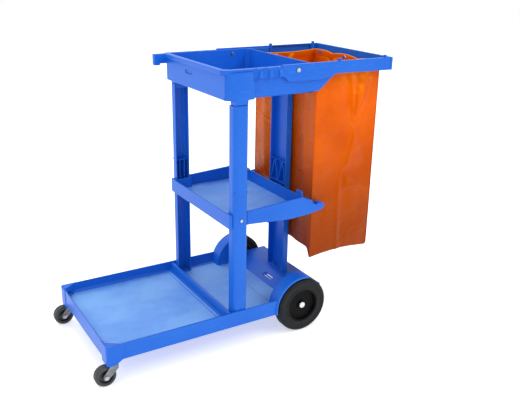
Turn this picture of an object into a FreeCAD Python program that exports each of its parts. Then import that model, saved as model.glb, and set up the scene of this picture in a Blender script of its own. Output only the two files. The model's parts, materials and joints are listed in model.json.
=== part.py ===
import FreeCAD, Part
import os
import Sketcher
from types import SimpleNamespace

from FreeCAD import Placement, Rotation, Vector

# Housekeeping cart. +X runs from the swivel casters to the bag, +Y to the far side, +Z up.
# The origin is on the floor, under the middle of the cart's bounding box.

os.makedirs("parts", exist_ok=True)
doc = FreeCAD.newDocument("HousekeepingCart")
sheet = doc.addObject("Spreadsheet::Sheet", "Sizes")

drivingSizes = {
    # rear wheels and their axle
    "axleAlong": 207,
    "wheelRadius": 100,
    "wheelProud": 9,
    "tyreWidth": 45,
    "tyreDepth": 38,
    "tyreShoulder": 11,
    "hubDish": 13,
    "hubWeb": 8,
    "hubRimWall": 5,
    "bossRadius": 17,
    "axleRadius": 8,
    "bushWall": 2,
    "capRadius": 12,
    "capDepth": 7,
    # swivel casters
    "casterRadius": 35,
    "casterWidth": 28,
    "casterTrail": 28,
    "swivelSetback": 23,
    "swivelInset": 20,
    "forkWall": 2.5,
    "crownRadius": 17,
    "raceHeight": 6,
    "stemRadius": 6,
    "stemReach": 42,
    "casterBoltRadius": 4,
    # deck
    "deckFront": -530,
    "deckRear": 320,
    "deckHalf": 246,
    "cornerBlockDrop": 14,
    "deckDepth": 16,
    "rimHeight": 40,
    "skin": 4,
    "rimWall": 5,
    "ridgeSetback": 20,
    "ridgeLean": 8,
    "ridgeHeight": 34,
    "ridgeWall": 9,
    "slopeStart": 172,
    "slopeEnd": 237,
    "archGap": 6,
    "archWall": 4,
    "archLip": 3,
    "archRoom": 15,
    "archEnd": 233,
    "cornerBlockLength": 56,
    "casterRoom": 3,
    "cornerBlockStep": 3.5,
    "cornerRound": 14,
    "cove": 14,
    "gusset": 32,
    "floorRib": 3,
    # columns
    "columnFront": -75,
    "columnLength": 54,
    "columnWidth": 37,
    "columnInset": 6,
    "columnTop": 857,
    "columnWall": 4,
    "columnRound": 15,
    "rearColumnFront": 245,
    "rearColumnDepth": 25,
    "rearColumnHalf": 54,
    "ribTop": 572,
    "ribBottom": 500,
    # middle shelf
    "shelfOverhang": 11,
    "shelfRear": 227,
    "shelfInset": 15,
    "shelfBottom": 444,
    "shelfFloor": 458,
    "shelfFrontTop": 495,
    "shelfRearTop": 511,
    "wingReach": 74,
    "wingWidth": 31,
    "shelfScrewUp": 474,
    # top tray
    "trayOverhang": 23,
    "trayRear": 240,
    "trayInset": 30,
    "trayLift": 16,
    "trayFloorDepth": 15,
    "trayDepth": 95,
    "lipOut": 12,
    "lipHeight": 15,
    "trayWall": 6,
    "handleRadius": 12,
    # bag frame and bag
    "armWidth": 12,
    "armRise": 4,
    "armFront": 107,
    "crossbarRoom": 34,
    "crossbarDepth": 12,
    "crossbarHeight": 44,
    "boltSetback": 60,
    "boltDrop": 19,
    "bagFront": 266,
    "bagRear": 536,
    "bagInset": 31,
    "bagTopDrop": 16,
    "bagBottom": 262,
    "bagWall": 2.5,
    "eyeletDrop": 14,
    # fasteners and fits
    "screwRadius": 2.5,
    "screwHead": 5,
    "pegRadius": 2.5,
    "pinRadius": 4,
    "runningGap": 0.05,
    "slipGap": 0.5,
}


class Size:
    """A length, kept both as a number and as the sheet expression that gives it."""

    def __init__(self, text, value):
        self.text = text
        self.value = value

    def __add__(self, other):
        other = sized(other)
        return Size("(%s + %s)" % (self.text, other.text), self.value + other.value)

    def __sub__(self, other):
        other = sized(other)
        return Size("(%s - %s)" % (self.text, other.text), self.value - other.value)

    def __mul__(self, other):
        other = sized(other)
        return Size("(%s * %s)" % (self.text, other.text), self.value * other.value)

    def __truediv__(self, other):
        other = sized(other)
        return Size("(%s / %s)" % (self.text, other.text), self.value / other.value)

    def __radd__(self, other):
        return sized(other) + self

    def __rsub__(self, other):
        return sized(other) - self

    def __rmul__(self, other):
        return sized(other) * self

    def __neg__(self):
        return -1 * self


def sized(amount):
    if isinstance(amount, Size):
        return amount
    return Size("(%g)" % amount, float(amount))


s = SimpleNamespace()
for row, (alias, value) in enumerate(drivingSizes.items(), start=1):
    sheet.set("A%d" % row, alias)
    sheet.set("B%d" % row, str(value))
    sheet.setAlias("B%d" % row, alias)
    setattr(s, alias, Size("Sizes.%s" % alias, float(value)))
doc.recompute()

subParts = []
cuts = []


def bind(thing, path, amount):
    thing.setExpression(path, sized(amount).text)


def body(label):
    piece = doc.addObject("PartDesign::Body", label)
    piece.Label = label
    subParts.append(piece)
    return piece


def attach(feature, piece, role, across=0, up=0, level=0):
    """Puts a feature on one of the body's origin planes; level runs along the world axis."""
    plane = [item for item in piece.Origin.OriginFeatures if item.Role == role][0]
    feature.AttachmentSupport = [(plane, "")]
    feature.MapMode = "FlatFace"
    facing = -1 if role == "XZ_Plane" else 1
    bind(feature, "AttachmentOffset.Base.x", across)
    bind(feature, "AttachmentOffset.Base.y", up)
    bind(feature, "AttachmentOffset.Base.z", facing * sized(level))


def outline(piece, role, loops, across=0, up=0, level=0):
    """Draws closed loops of straight edges, every corner placed by the sheet."""
    sketch = piece.newObject("Sketcher::SketchObject", "Outline")
    attach(sketch, piece, role, across, up, level)
    first = 0
    for loop in loops:
        corners = [(sized(a), sized(b)) for a, b in loop]
        ends = corners[1:] + corners[:1]
        for (a, b), (c, d) in zip(corners, ends):
            edge = Part.LineSegment(Vector(a.value, b.value, 0), Vector(c.value, d.value, 0))
            sketch.addGeometry(edge, False)
        for index, (a, b) in enumerate(corners):
            edge = first + index
            after = first + (index + 1) % len(corners)
            sketch.addConstraint(Sketcher.Constraint("Coincident", edge, 2, after, 1))
            place = Sketcher.Constraint("DistanceX", -1, 1, edge, 1, a.value)
            bind(sketch, "Constraints[%d]" % sketch.addConstraint(place), a)
            place = Sketcher.Constraint("DistanceY", -1, 1, edge, 1, b.value)
            bind(sketch, "Constraints[%d]" % sketch.addConstraint(place), b)
        first += len(corners)
    return sketch


def pad(piece, role, low, high, *loops):
    """Adds the loops, drawn on a plane, from level low to level high."""
    low = sized(low)
    feature = piece.newObject("PartDesign::Pad", "Pad")
    feature.Profile = outline(piece, role, loops, level=low)
    feature.Reversed = role == "XZ_Plane"
    feature.Refine = False
    bind(feature, "Length", high - low)
    return feature


def pocket(piece, role, low, high, *loops):
    """Cuts the loops, drawn on a plane, from level low to level high."""
    low = sized(low)
    feature = piece.newObject("PartDesign::Pocket", "Pocket")
    feature.Profile = outline(piece, role, loops, level=low)
    feature.Reversed = role != "XZ_Plane"
    feature.Refine = False
    bind(feature, "Length", high - low)
    cuts.append(feature)
    return feature


def drum(piece, kind, role, across, up, low, high, radius):
    """Adds or cuts a cylinder that stands square to a plane, from level low to high."""
    feature = piece.newObject("PartDesign::%sCylinder" % kind, kind)
    feature.Refine = False
    attach(feature, piece, role, across, up, high if role == "XZ_Plane" else low)
    bind(feature, "Radius", radius)
    bind(feature, "Height", high - sized(low))
    if kind == "Subtractive":
        cuts.append(feature)
    return feature


def bores(piece, role, low, high, radius, *centres):
    """Cuts a set of equal round holes, square to a plane, from level low to level high."""
    sketch = piece.newObject("Sketcher::SketchObject", "Circles")
    attach(sketch, piece, role, level=low)
    for index, (a, b) in enumerate(centres):
        a = sized(a)
        b = sized(b)
        radius = sized(radius)
        ring = Part.Circle(Vector(a.value, b.value, 0), Vector(0, 0, 1), radius.value)
        sketch.addGeometry(ring, False)
        place = Sketcher.Constraint("DistanceX", -1, 1, index, 3, a.value)
        bind(sketch, "Constraints[%d]" % sketch.addConstraint(place), a)
        place = Sketcher.Constraint("DistanceY", -1, 1, index, 3, b.value)
        bind(sketch, "Constraints[%d]" % sketch.addConstraint(place), b)
        width = Sketcher.Constraint("Radius", index, radius.value)
        bind(sketch, "Constraints[%d]" % sketch.addConstraint(width), radius)
    feature = piece.newObject("PartDesign::Pocket", "Bores")
    feature.Profile = sketch
    feature.Reversed = role != "XZ_Plane"
    feature.Refine = False
    bind(feature, "Length", high - sized(low))
    cuts.append(feature)
    return feature


def turned(piece, role, axis, points, across=0, up=0, level=0):
    """Turns a profile a full circle about the sketch's own horizontal or vertical axis."""
    feature = piece.newObject("PartDesign::Revolution", "Turned")
    sketch = outline(piece, role, [points], across, up, level)
    feature.Profile = sketch
    feature.ReferenceAxis = (sketch, [axis])
    return feature


def soften(piece, radius, chosen):
    """Rounds the edges of the body's last feature that the test picks."""
    doc.recompute()
    last = piece.Tip
    names = ["Edge%d" % (n + 1) for n, edge in enumerate(last.Shape.Edges) if chosen(edge)]
    feature = piece.newObject("PartDesign::Fillet", "Rounding")
    feature.Base = (last, names)
    bind(feature, "Radius", radius)
    return feature


def box(x0, x1, y0, y1):
    return [(x0, y0), (x1, y0), (x1, y1), (x0, y1)]


def clipped(x0, x1, half, corner):
    """A rectangle across the centre line with its corners cut off."""
    return [(x0 + corner, -half), (x1 - corner, -half), (x1, corner - half), (x1, half - corner),
            (x1 - corner, half), (x0 + corner, half), (x0, half - corner), (x0, corner - half)]


def upright(edge):
    extent = edge.BoundBox
    return extent.XLength < 0.01 and extent.YLength < 0.01


def ordered(one, other):
    """The two levels with the lower one first."""
    one = sized(one)
    other = sized(other)
    return (one, other) if one.value < other.value else (other, one)


def sides():
    return (("left", -1), ("right", 1))


def rod(name, axis, x, y, z, radius, length):
    """A plain cylinder that starts at x, y, z and runs along the given axis."""
    shape = doc.addObject("Part::Cylinder", name)
    shape.Placement = Placement(Vector(), Rotation(Vector(0, 0, 1), Vector(*axis)))
    bind(shape, "Placement.Base.x", x)
    bind(shape, "Placement.Base.y", y)
    bind(shape, "Placement.Base.z", z)
    bind(shape, "Radius", radius)
    bind(shape, "Height", length)
    return shape


def joined(label, shapes):
    fuse = doc.addObject("Part::MultiFuse", label)
    fuse.Shapes = shapes
    return fuse


def group(label, shapes):
    """Identical loose pieces that share one node."""
    compound = doc.addObject("Part::Compound", label)
    compound.Links = shapes
    compound.Label = label
    subParts.append(compound)


def single(label, shape):
    shape.Label = label
    subParts.append(shape)


def screw(name, axis, x, y, z, length, radius=s.screwRadius, head=s.screwHead, rise=3):
    """A screw whose head sits on x, y, z and whose shank runs along the axis."""
    back = tuple(-part for part in axis)
    shank = rod(name + "Shank", axis, x, y, z, radius, length)
    top = rod(name + "Head", back, x, y, z, head, rise)
    return joined(name, [shank, top])


# places worked out from the driving sizes
s.columnOutside = s.deckHalf - s.columnInset
s.columnInside = s.columnOutside - s.columnWidth
s.shelfHalf = s.deckHalf - s.shelfInset
s.trayHalf = s.deckHalf - s.trayInset
s.armOutside = s.trayHalf + s.armWidth
s.bagHalf = s.armOutside - s.bagInset
s.swivelAside = s.deckHalf - s.swivelInset
s.swivelAlong = s.deckFront + s.swivelSetback
s.wheelOutside = s.deckHalf + s.wheelProud
s.archInside = s.wheelOutside - s.tyreWidth - s.archRoom
s.cornerBlockBottom = 2 * s.casterRadius + s.casterRoom
s.skirtBottom = s.cornerBlockBottom + s.cornerBlockDrop
s.deckFloor = s.skirtBottom + s.deckDepth
s.rimTop = s.deckFloor + s.rimHeight
s.ridgeTop = s.deckFloor + s.ridgeHeight
s.trayBottom = s.columnTop + s.trayLift
s.trayFloor = s.trayBottom + s.trayFloorDepth
s.trayTop = s.trayBottom + s.trayDepth
s.armTop = s.trayTop + s.armRise
s.crossbarBottom = s.armTop - s.crossbarHeight
s.boltUp = s.armTop - s.boltDrop
s.bagTop = s.armTop - s.bagTopDrop
s.eyeletUp = s.bagTop - s.eyeletDrop
s.crossbarRear = s.bagRear + s.crossbarRoom
s.boltAlong = s.armFront + s.boltSetback
s.trayFront = s.columnFront - s.trayOverhang
s.shelfFront = s.columnFront - s.shelfOverhang
s.ridgeFront = s.columnFront - s.ridgeSetback
columnRear = s.columnFront + s.columnLength
columnMiddle = s.columnFront + s.columnLength / 2
rearColumnRear = s.rearColumnFront + s.rearColumnDepth
rearColumnMiddle = s.rearColumnFront + s.rearColumnDepth / 2
archRadius = s.wheelRadius + s.archGap + s.archWall + s.archLip
wellRadius = archRadius - s.archWall
tyreInside = s.wheelOutside - s.tyreWidth
hubRadius = s.wheelRadius - s.tyreDepth
boreRadius = s.axleRadius + s.bushWall
axleUp = s.wheelRadius
boxFront = s.archInside + s.rimWall
casterAlong = s.swivelAlong - s.casterTrail
crownBottom = 2 * s.casterRadius - 0.5
crownTop = crownBottom + s.forkWall
raceTop = crownTop + s.raceHeight
legFront = s.columnFront + 3
legRear = columnRear - 3
armInside = s.trayHalf + 0.2
crossbarFront = s.crossbarRear - s.crossbarDepth
screwHole = s.screwRadius + 0.2
crossMemberTop = s.rimTop - 2


def slopeAt(x):
    """Height of the sloping rear floor at a place along the cart."""
    rise = (crossMemberTop - s.deckFloor) / (s.slopeEnd - s.slopeStart)
    return s.deckFloor + (x - s.slopeStart) * rise


def makeDeck():
    deck = body("deck")
    inner = s.deckHalf - s.rimWall
    wellStart = s.axleAlong - wellRadius + 15
    pad(deck, "XY_Plane", s.skirtBottom, s.rimTop, [
        (s.deckFront, -s.deckHalf), (wellStart, -s.deckHalf), (wellStart, -boxFront),
        (s.deckRear, -boxFront), (s.deckRear, boxFront), (wellStart, boxFront),
        (wellStart, s.deckHalf), (s.deckFront, s.deckHalf)])
    # corner blocks that carry the casters, with a sloping foot
    blockFront = s.deckFront - 2
    blockRear = blockFront + s.cornerBlockLength
    blockHalf = s.deckHalf + s.cornerBlockStep
    for low, high in ((-blockHalf, -s.archInside), (s.archInside, blockHalf)):
        pad(deck, "XZ_Plane", low, high, [
            (blockFront, s.rimTop), (blockFront, s.cornerBlockBottom),
            (blockRear - 27, s.cornerBlockBottom), (blockRear, s.skirtBottom + 4),
            (blockRear, s.rimTop)])
    soften(deck, s.cornerRound, lambda edge: upright(edge)
           and edge.BoundBox.XMin < s.deckFront.value - 1
           and abs(edge.BoundBox.YMin) > s.deckHalf.value)
    # front platform, then the rear floor with its slope up to the cross member
    pocket(deck, "XZ_Plane", -inner, inner, [
        (s.deckFront + s.rimWall, s.rimTop + 9), (s.deckFront + s.rimWall, s.deckFloor),
        (s.ridgeFront, s.deckFloor), (s.ridgeFront + s.ridgeLean, s.rimTop + 9)])
    ridgeRear = s.ridgeFront + s.ridgeLean + s.ridgeWall
    pocket(deck, "XZ_Plane", -inner, inner, [
        (ridgeRear, s.rimTop + 9), (ridgeRear + 2, s.deckFloor),
        (wellStart + 1, s.deckFloor), (wellStart + 1, s.rimTop + 9)])
    pocket(deck, "XZ_Plane", -s.archInside, s.archInside, [
        (wellStart, s.rimTop + 9), (wellStart, s.deckFloor), (s.slopeStart, s.deckFloor),
        (s.slopeEnd, crossMemberTop), (s.deckRear + 1, crossMemberTop),
        (s.deckRear + 1, s.rimTop + 9)])
    pocket(deck, "XY_Plane", s.ridgeTop, s.rimTop + 9, box(s.ridgeFront, ridgeRear + 2, -inner, inner))
    # coves where the floor meets the walls
    pad(deck, "XZ_Plane", -inner, inner, cove(s.deckFront + s.rimWall, 1),
        cove(s.ridgeFront, -1))
    for low, high in ((s.deckFront + 1, s.ridgeFront), (columnRear + 2, wellStart + 2)):
        pad(deck, "YZ_Plane", low, high, cove(inner, -1), cove(-inner, 1))
    pad(deck, "YZ_Plane", s.axleAlong - archRadius + 9, s.slopeStart,
        cove(s.archInside, -1), cove(-s.archInside, 1))
    # triangular gussets across the two front inner corners
    for side in (-1, 1):
        pad(deck, "XY_Plane", s.deckFloor - 1, s.rimTop, [
            (s.deckFront + 3, side * (inner - s.gusset)), (s.deckFront + 3, side * (inner + 1)),
            (s.deckFront + 1.6 * s.gusset, side * (inner + 1))])
    # wheel arches
    for side in (-1, 1):
        low, high = ordered(side * s.archInside, side * (s.wheelOutside - 5))
        drum(deck, "Additive", "XZ_Plane", s.axleAlong, axleUp, low, high, archRadius)
    for side in (-1, 1):
        far = side * (s.wheelOutside + 5)
        pocket(deck, "XY_Plane", -30, s.skirtBottom,
               box(wellStart - 30, s.deckRear + 20, side * (s.archInside - 1), far))
        pocket(deck, "XY_Plane", s.skirtBottom - 5, axleUp + archRadius + 9,
               box(s.archEnd, s.deckRear + 20, side * boxFront, far))
        pocket(deck, "XY_Plane", crossMemberTop, axleUp + archRadius + 9,
               box(s.archEnd, s.deckRear + 20, side * (s.archInside - 1), far))
        low, high = ordered(side * boxFront, far)
        bores(deck, "XZ_Plane", low, high, wellRadius - s.archLip, (s.axleAlong, axleUp))
        low, high = ordered(side * boxFront, side * (s.wheelOutside - 9))
        bores(deck, "XZ_Plane", low, high, wellRadius, (s.axleAlong, axleUp))
    # hollow underside with stiffening ribs
    under = s.deckFloor - s.skin
    pocket(deck, "XZ_Plane", -s.archInside, s.archInside, [
        (s.deckFront + s.rimWall, s.skirtBottom - 9), (s.deckFront + s.rimWall, under),
        (s.slopeStart - 2, under), (s.slopeEnd - 2, crossMemberTop - s.rimWall),
        (s.deckRear - s.rimWall, crossMemberTop - s.rimWall),
        (s.deckRear - s.rimWall, s.skirtBottom - 9)])
    for side in (-1, 1):
        pocket(deck, "XY_Plane", s.skirtBottom - 9, under,
               box(blockRear + 2, wellStart - 25, side * s.archInside, side * inner))
    ribHalf = s.floorRib / 2
    lengthwise = [box(s.deckFront + 1, s.slopeStart, y - ribHalf, y + ribHalf)
                  for y in (-120, -40, 40, 120)]
    pad(deck, "XY_Plane", s.skirtBottom, under + 1, *lengthwise)
    across = [box(x - ribHalf, x + ribHalf, -inner - 1, inner + 1)
              for x in (-430, -330, -230, -130, 20)]
    pad(deck, "XY_Plane", s.skirtBottom, under + 1, *across)
    # saddles for the axle, then its bore
    for side in (-1, 1):
        low, high = ordered(side * 110, side * 140)
        pad(deck, "XZ_Plane", low, high, [
            (s.axleAlong - 16, s.skirtBottom - 3), (s.axleAlong + 16, s.skirtBottom - 3),
            (s.axleAlong + 16, slopeAt(s.axleAlong + 16) - 2),
            (s.axleAlong - 16, slopeAt(s.axleAlong - 16) - 2)])
    bores(deck, "XZ_Plane", -boxFront - 1, boxFront + 1, s.axleRadius + s.runningGap,
          (s.axleAlong, axleUp))
    # caster sockets
    swivels = [(s.swivelAlong, side * s.swivelAside) for side in (-1, 1)]
    bores(deck, "XY_Plane", s.cornerBlockBottom - 1, raceTop, s.crownRadius + 2, *swivels)
    bores(deck, "XY_Plane", raceTop - 1, raceTop + s.stemReach, s.stemRadius + s.runningGap, *swivels)
    # screw holes under the columns
    rearScrews = [(rearColumnMiddle, y) for y in (-30, 30)]
    bores(deck, "XY_Plane", under - 1, crossMemberTop + 1, screwHole, *columnScrews(), *rearScrews)
    # two drain slots in the slope
    pocket(deck, "XY_Plane", under, s.rimTop, box(198, 201, -48, 10), box(206, 209, -48, 10))
    return deck


def cove(wall, way):
    """The hollow curve between the deck's floor and a wall; way points from the wall to the floor."""
    back = wall - way
    low = s.deckFloor - 1
    return [(back, low), (wall + way * s.cove, low), (wall + way * s.cove, s.deckFloor + 0.1),
            (wall + way * s.cove * 0.45, s.deckFloor + s.cove * 0.16),
            (wall + way * s.cove * 0.16, s.deckFloor + s.cove * 0.45),
            (wall, s.deckFloor + s.cove), (back, s.deckFloor + s.cove)]


def columnScrews():
    return [(columnMiddle + step, side * (s.columnInside + s.columnOutside) / 2)
            for side in (-1, 1) for step in (-14, 14)]


def makeColumn(label, side):
    column = body(label)
    inside = side * s.columnInside
    outside = side * s.columnOutside
    back = outside - side * s.columnWall
    pad(column, "XY_Plane", s.deckFloor, s.columnTop, box(s.columnFront, columnRear, inside, outside))
    soften(column, s.columnRound, lambda edge: upright(edge)
           and abs(abs(edge.BoundBox.YMin) - s.columnOutside.value) < 0.01)
    pocket(column, "XY_Plane", s.deckFloor + s.columnWall, s.columnTop + 1, [
        (s.columnFront + s.columnWall, inside - side),
        (columnRear - s.columnWall, inside - side),
        (columnRear - s.columnWall, back - side * (s.columnRound - s.columnWall)),
        (columnRear - s.columnRound, back), (s.columnFront + s.columnRound, back),
        (s.columnFront + s.columnWall, back - side * (s.columnRound - s.columnWall))])
    # a shallow cover web with ribs above the shelf
    wide = box(s.columnFront + 1, columnRear - 1, inside, outside - side * 2)
    pad(column, "XY_Plane", s.ribTop - 3, s.ribTop, wide)
    uprights = [box(columnMiddle + step - 1.5, columnMiddle + step + 1.5, inside + side * 6,
                    outside - side * 2) for step in (-9, 9)]
    pad(column, "XY_Plane", s.ribBottom, s.ribTop - 1, *uprights)
    low, high = ordered(back - side * 2, outside + side)
    drum(column, "Subtractive", "XZ_Plane", columnMiddle, s.shelfScrewUp, low, high, screwHole)
    for x, y in columnScrews():
        if y.value * side > 0:
            drum(column, "Subtractive", "XY_Plane", x, y, s.deckFloor - 1,
                 s.deckFloor + s.columnWall + 1, screwHole)


def makeRearColumn():
    column = body("rear_column")
    top = s.trayBottom + 7
    half = s.rearColumnHalf
    pad(column, "XY_Plane", crossMemberTop, top, box(s.rearColumnFront, rearColumnRear, -half, half))
    soften(column, 5, lambda edge: upright(edge) and edge.BoundBox.XMin > rearColumnRear.value - 1)
    inner = half - s.columnWall
    pocket(column, "XY_Plane", crossMemberTop + s.columnWall, top - s.columnWall,
           box(s.rearColumnFront - 1, rearColumnRear - s.columnWall, -inner, inner))
    web = rearColumnRear - s.columnWall + 1
    pad(column, "XY_Plane", s.ribTop + 8, s.ribTop + 11,
        box(s.rearColumnFront + 3, web, -inner - 1, inner + 1))
    pad(column, "XY_Plane", s.ribBottom - 3, s.ribBottom,
        box(s.rearColumnFront + 3, web, -inner - 1, inner + 1))
    # zigzag ribs between the two shelves of the channel
    low = s.ribBottom - 1
    high = s.ribTop + 9
    for start, end in ((-inner, -25), (0, -25), (0, 25), (inner, 25)):
        start = sized(start)
        end = sized(end)
        pad(column, "YZ_Plane", s.rearColumnFront + 3, web, [
            (start - 2, low), (start + 2, low), (end + 2, high), (end - 2, high)])
    for y in (-30, 30):
        drum(column, "Subtractive", "XY_Plane", rearColumnMiddle, y, crossMemberTop - 1,
             crossMemberTop + s.columnWall + 1, screwHole)
        drum(column, "Subtractive", "XY_Plane", s.rearColumnFront + 7, y,
             top - s.columnWall - 1, top + 1, screwHole)
    drum(column, "Subtractive", "XZ_Plane", rearColumnMiddle, s.shelfScrewUp, -half - 1, half + 1, 3.2)


def makeShelf():
    shelf = body("middle_shelf")
    rear = s.shelfRear
    pad(shelf, "XZ_Plane", -s.shelfHalf, s.shelfHalf, [
        (s.shelfFront, s.shelfFrontTop), (s.shelfFront, s.shelfBottom + 2),
        (s.shelfFront + 77, s.shelfBottom + 7), (rear - 75, s.shelfBottom - 5),
        (rear + 5, s.shelfBottom), (rear + 62, s.shelfBottom + 8),
        (rear + s.wingReach, s.shelfFloor + 6), (rear + 68, s.shelfFloor + 18),
        (rear + 53, s.shelfFloor + 21), (rear + 35, s.shelfFloor + 17),
        (rear + 22, s.shelfFloor + 25), (rear + 19, s.shelfFloor + 34),
        (rear + 10, s.shelfFloor + 39), (rear - 5, s.shelfRearTop - 9),
        (rear - 24, s.shelfRearTop)])
    gap = s.shelfHalf - s.wingWidth
    pocket(shelf, "XY_Plane", s.shelfBottom - 9, s.shelfRearTop + 9,
           box(rear, rear + s.wingReach + 9, -gap, gap))
    # cut-outs round the two front columns
    notchIn = s.columnInside - s.slipGap
    for side in (-1, 1):
        pocket(shelf, "XY_Plane", s.shelfBottom - 9, s.shelfRearTop + 9,
               box(s.columnFront - s.slipGap, columnRear + s.slipGap, side * notchIn,
                   side * (s.shelfHalf + 9)))
    soften(shelf, 6, lambda edge: upright(edge) and edge.BoundBox.XMin < s.shelfFront.value + 1)
    # basin
    wall = 5
    narrow = notchIn - wall
    broad = s.shelfHalf - wall - 4
    basinRear = columnRear + s.slipGap + wall
    pocket(shelf, "XY_Plane", s.shelfFloor, s.shelfRearTop + 9, [
        (s.shelfFront + wall, -narrow), (basinRear, -narrow), (basinRear, -broad),
        (rear - wall - 3, -broad), (rear - wall - 3, broad), (basinRear, broad),
        (basinRear, narrow), (s.shelfFront + wall, narrow)])
    # pole cradles in the wings
    for side in (-1, 1):
        drum(shelf, "Subtractive", "XY_Plane", rear + 36, side * (s.shelfHalf - s.wingWidth / 2),
             s.shelfFloor - 4, s.shelfRearTop, 11)
    # hollow underside with ribs
    under = s.shelfFloor - s.skin
    pocket(shelf, "XY_Plane", s.shelfBottom - 9, under,
           box(basinRear + 3, rear - 8, -broad, broad),
           box(s.shelfFront + wall, basinRear, -narrow, narrow))
    pad(shelf, "XY_Plane", s.shelfBottom, under + 1,
        *[box(s.shelfFront + 1, rear - 2, y - s.floorRib / 2, y + s.floorRib / 2)
          for y in (-130, -45, 45, 130)])
    # lugs that enter the column channels
    for side in (-1, 1):
        low, high = ordered(side * (notchIn - 1), side * (s.columnOutside - 12))
        pad(shelf, "XZ_Plane", low, high, box(columnMiddle - 12, columnMiddle + 12,
                                              s.shelfScrewUp - 12, s.shelfScrewUp + 12))
        low, high = ordered(side * (notchIn - 20), side * s.columnOutside)
        drum(shelf, "Subtractive", "XZ_Plane", columnMiddle, s.shelfScrewUp, low, high, screwHole)
    pad(shelf, "XY_Plane", s.shelfScrewUp - 12, s.shelfScrewUp + 12,
        box(rear - 3, rearColumnRear - s.columnWall - 1, -20, 20))
    drum(shelf, "Subtractive", "XZ_Plane", rearColumnMiddle, s.shelfScrewUp, -21, 21, 3.2)
    # clip for a cloth on the rear rim
    pad(shelf, "XY_Plane", s.shelfRearTop - 12, s.shelfRearTop + 7, box(rear - 8, rear + 2, -194, -162))


def makeTray():
    tray = body("top_tray")
    out = s.trayHalf + s.lipOut
    front = s.trayFront - s.lipOut
    pad(tray, "XY_Plane", s.trayBottom, s.trayTop, box(s.trayFront, s.trayRear, -s.trayHalf, s.trayHalf))
    pad(tray, "XY_Plane", s.trayTop - s.lipHeight, s.trayTop, box(front, s.armFront - 1, -out, out))
    soften(tray, 26, lambda edge: upright(edge) and edge.BoundBox.XMin < front.value + 1)
    # shoulders over the two front columns
    for side in (-1, 1):
        shoulder = side * (s.columnOutside - 3)
        pad(tray, "XY_Plane", s.trayBottom, s.trayTop - 9, [
            (s.trayFront, side * (s.trayHalf - 20)), (s.trayFront + 2, side * (s.trayHalf - 2)),
            (s.trayFront + 14, shoulder - side * 8), (legFront + 8, shoulder),
            (legRear - 4, shoulder), (legRear + 24, shoulder - side * 4),
            (legRear + 24, side * (s.trayHalf - 20))])
        pad(tray, "XY_Plane", s.columnTop, s.trayBottom + 1,
            box(legFront, legRear, side * (s.columnInside + 3), shoulder))
    for side in (-1, 1):
        pad(tray, "XY_Plane", s.columnTop - 17, s.columnTop + 1, box(
            s.columnFront + s.columnWall + s.slipGap, columnRear - s.columnWall - s.slipGap,
            side * (s.columnInside + 3),
            side * (s.columnOutside - s.columnRound - s.slipGap)))
    # cheeks that run back under the arms of the bag frame
    for side in (-1, 1):
        low, high = ordered(side * (s.trayHalf - 8), side * s.trayHalf)
        pad(tray, "XZ_Plane", low, high, [
            (s.trayRear - 40, s.trayBottom + 2), (s.trayRear + 24, s.trayBottom + 3),
            (s.trayRear + 66, s.trayBottom + 39), (s.trayRear + 88, s.crossbarBottom),
            (s.trayRear + 88, s.armTop - 6), (s.trayRear - 40, s.trayTop)])
    # tool holder ledges with open notches for handles
    for side in (-1, 1):
        pad(tray, "XY_Plane", s.trayTop - 32, s.trayTop - 8,
            box(legRear + 12, s.armFront, side * (s.trayHalf - 2), side * (out + 6)))
    bores(tray, "XY_Plane", s.trayTop - 40, s.trayTop + 9, s.handleRadius,
          *[(legRear + 12 + step, side * (out + 7)) for side in (-1, 1) for step in (18, 55, 92)])
    pocket(tray, "XY_Plane", s.trayFloor, s.trayTop + 9, clipped(
        s.trayFront + s.trayWall, s.trayRear - s.trayWall, s.trayHalf - s.trayWall - 2, 12))
    underFront = s.trayFront + s.trayWall
    underRear = s.trayRear - s.trayWall
    behindLegs = legRear + 30
    slim = s.trayHalf - 26
    full = s.trayHalf - 8
    pocket(tray, "XY_Plane", s.trayBottom - 1, s.trayFloor - s.skin, [
        (underFront, -slim), (behindLegs, -slim), (behindLegs, -full), (underRear, -full),
        (underRear, full), (behindLegs, full), (behindLegs, slim), (underFront, slim)])
    # flange over the rear column
    pad(tray, "XY_Plane", s.trayBottom + 7, s.trayBottom + 11,
        box(s.trayRear - 2, s.trayRear + 22, -50, 50))
    bores(tray, "XY_Plane", s.trayBottom + 6, s.trayBottom + 12, screwHole,
          *[(s.rearColumnFront + 7, y) for y in (-30, 30)])
    # cloth slot in the front face, and the pole hook at one front corner
    pocket(tray, "XZ_Plane", 13, 62, box(s.trayFront - 1, s.trayFront + 3,
                                         s.trayTop - 47, s.trayTop - 36))
    pad(tray, "XZ_Plane", out - 22, out - 3, [
        (s.trayFront + 1, s.trayTop - 2), (front - 37, s.trayTop - 2), (front - 39, s.trayTop - 6),
        (front - 39, s.trayTop - 41), (front - 18, s.trayTop - 41), (front - 18, s.trayTop - 35),
        (s.trayFront + 1, s.trayTop - 35)])
    bores(tray, "XZ_Plane", -s.trayHalf - 16, s.trayHalf + 16, 3.7, (s.boltAlong, s.boltUp))
    bores(tray, "YZ_Plane", s.trayRear - s.trayWall - 1, s.trayRear + 1, s.pegRadius,
          (-150, s.eyeletUp), (150, s.eyeletUp))


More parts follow.
